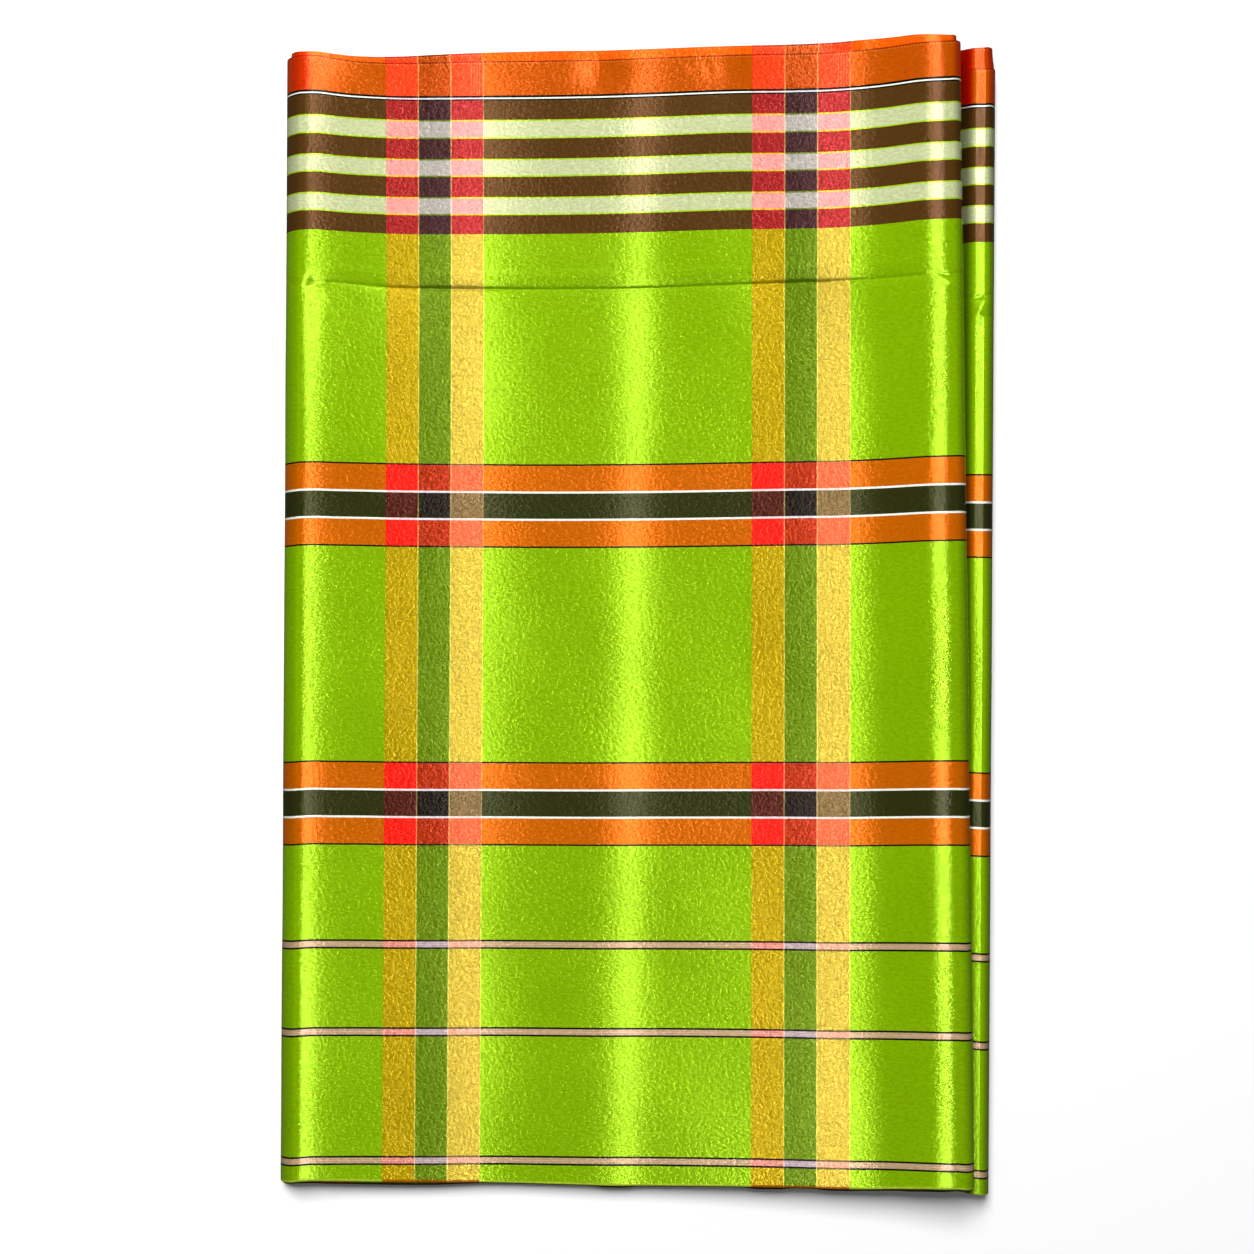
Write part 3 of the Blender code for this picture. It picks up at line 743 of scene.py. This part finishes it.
# The outer half runs on a little past the centre fold, and the inner half starts just after.
TAIL, TAIL_GAP = 4.0, 0.5
tail_end = HALF_WIDTH - FOLD_DEPTH - TAIL
outer_rows = stacked(ply_rows(outer_v, OUTER), centre_fold(OUTER, INNER),
                     ply_rows([tail_end], INNER))
front_outer = sew_sheet("front_outer_half_cloth", front_path, outer_rows, front_u, satin)
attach(front_outer, "root")
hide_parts("front_outer_half")


# --- Front, inner half -------------------------------------------------------------------
# The other half of the loom width, laid under the first. Its selvedge lies 3 to 6 mm higher,
# so a strip of the border shows along the top edge. Same satin, in one piece with it.

crease_v = spaced(ABOVE_CREASE, *AT_CREASE)
inner_v = np.concatenate([
    spaced(tail_end - TAIL_GAP, (150.0, 24.0), (BELOW_CREASE, 7.0)), crease_v[::-2][1:],
    spaced(ABOVE_CREASE, (0.0, 3.0))[1:]])
border = checked_satin("checked satin, inner half", bright_border=0.8)
front_inner = sew_sheet("front_inner_half_cloth", front_path, ply_rows(inner_v, INNER, lip=1.0),
                        front_u, border)
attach(front_inner, "root")
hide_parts("front_inner_half")


# --- Back, outer half --------------------------------------------------------------------
# The same cloth goes on under the packet, flat where it rests, and round the lower roll,
# which shows as a strip along the right edge. It lies a little lower than the front.

back_outer = sew_sheet("back_outer_half_cloth", back_path, outer_rows, back_u, satin)
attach(back_outer, "root")
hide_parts("back_outer_half")


# --- Back, inner half --------------------------------------------------------------------
# Its other half, laid inside it and in one piece with it. Its border shows past the selvedge at
# the lower roll, redder than on the front.

back_border = checked_satin("checked satin, inner back", red_border=0.3)
back_inner = sew_sheet("back_inner_half_cloth", back_path, ply_rows(inner_v, INNER, lip=1.0),
                       back_u, back_border)
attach(back_inner, "root")
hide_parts("back_inner_half")


# --- Hidden plies ------------------------------------------------------------------------
# The rest of the length lies folded inside: two more doubled plies, nested in the outermost
# one and in each other. Only their selvedges and their centre folds show, at the two edges.

STRIPES_SHIFT = 61.0            # along the cloth, from the stripes above
hidden_path = joined(front_path, back_path)
hidden_u = start - length + STRIPES_SHIFT
# The folds inside get painted shade on their rims.
painted_shade_fold = checked_satin("checked satin, folded inside",
                          rim=Rim((22, 9, 7), (66, 12, 10), 0.95))
# outer, inner: how deep its two halves lie. The trims and the tuck are what its edges keep back.
HiddenPly = namedtuple("HiddenPly", "name outer inner outer_trim inner_trim tuck rests_on")
HIDDEN = [HiddenPly(*row) for row in (
    ("middle_ply_cloth", 0.33, 0.58, 0.5, -2.0, -0.9, "inmost_ply_cloth"),
    ("inmost_ply_cloth", 0.67, 0.92, 2.5, 1.0, 0.6, "back_inner_half_cloth"),
)]
long_v = np.concatenate([
    spaced(0.0, (ABOVE_CREASE, 6.0)), crease_v[2::3],
    spaced(BELOW_CREASE, (150.0, 7.0), (500.0, 40.0), (LAST_ROW, 8.0))[1:]])
for ply in HIDDEN:
    rows = stacked(ply_rows(long_v, ply.outer, trim=ply.outer_trim, tuck=ply.tuck),
                   centre_fold(ply.outer, ply.inner, ply.tuck),
                   ply_rows(long_v[::-1], ply.inner, trim=ply.inner_trim, tuck=ply.tuck))
    hidden = sew_sheet(ply.name, hidden_path, rows, hidden_u, painted_shade_fold)
    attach(hidden, "root")
    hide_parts("hidden_layers")


# --- Floor, lights and camera ------------------------------------------------------------
# A white tabletop in a white room. Two long strips of light hang over the packet and a soft
# light stands above its top edge, and it is seen from straight above.

FLOOR_SIZE, FLOOR_Z = 8, -0.0004  # just clear of the cloth
bpy.ops.mesh.primitive_plane_add(size=FLOOR_SIZE, location=(0, 0, FLOOR_Z))
floor = bpy.context.object
floor.name = "floor"
white = bpy.data.materials.new("white tabletop")
white.use_nodes = True
white_shader = white.node_tree.nodes["Principled BSDF"]
white_shader.inputs["Base Color"].default_value = (0.89, 0.89, 0.89, 1)
white_shader.inputs["Roughness"].default_value = 0.9
floor.data.materials.append(white)
# The floor throws no light back, so the folds' undersides stay dark.
floor.visible_diffuse = floor.visible_glossy = False

# The strips show in the gloss alone, and the other two light the dyes alone.
StudioLight = namedtuple("StudioLight", "name x y z turn width length watts tint gloss_only")
WARM, COOL, PLAIN = (1.0, 0.87, 0.86), (1.0, 0.86, 1.25), (1.0, 1.0, 1.0)
for light in (StudioLight("strip light", -0.04, 0.30, 2.00, 0, 0.055, 3.4, 8.4, WARM, True),
              StudioLight("second strip", 0.08, 0.30, 2.00, 0, 0.04, 3.4, 12.0, COOL, True),
              StudioLight("soft light", -0.45, 1.78, 2.68, -34, 1.5, 1.6, 160.0, PLAIN, False),
              StudioLight("fill light", 0.0, -1.60, 1.60, 45, 1.2, 0.8, 2.0, PLAIN, False)):
    bpy.ops.object.light_add(type="AREA", location=(light.x, light.y, light.z),
                             rotation=(math.radians(light.turn), 0, 0))
    lamp = bpy.context.object
    lamp.name, lamp.data.shape, lamp.data.energy = light.name, "RECTANGLE", light.watts
    lamp.data.size, lamp.data.size_y, lamp.data.color = light.width, light.length, light.tint
    lamp.visible_diffuse, lamp.visible_glossy = not light.gloss_only, light.gloss_only

world = bpy.data.worlds.new("white room")
bpy.context.scene.world = world
world.use_nodes = True
background = world.node_tree.nodes["Background"]
background.inputs["Color"].default_value = (1, 1, 1, 1)
background.inputs["Strength"].default_value = 0.10

bpy.ops.object.camera_add(location=(-0.0046, -0.00305, 0.808), rotation=(0, 0, 0))
camera = bpy.context.object
camera.name = "camera"
camera.data.lens, camera.data.sensor_width = 47.1, 36.0
bpy.context.scene.camera = camera
bpy.context.scene.view_settings.view_transform = "Standard"
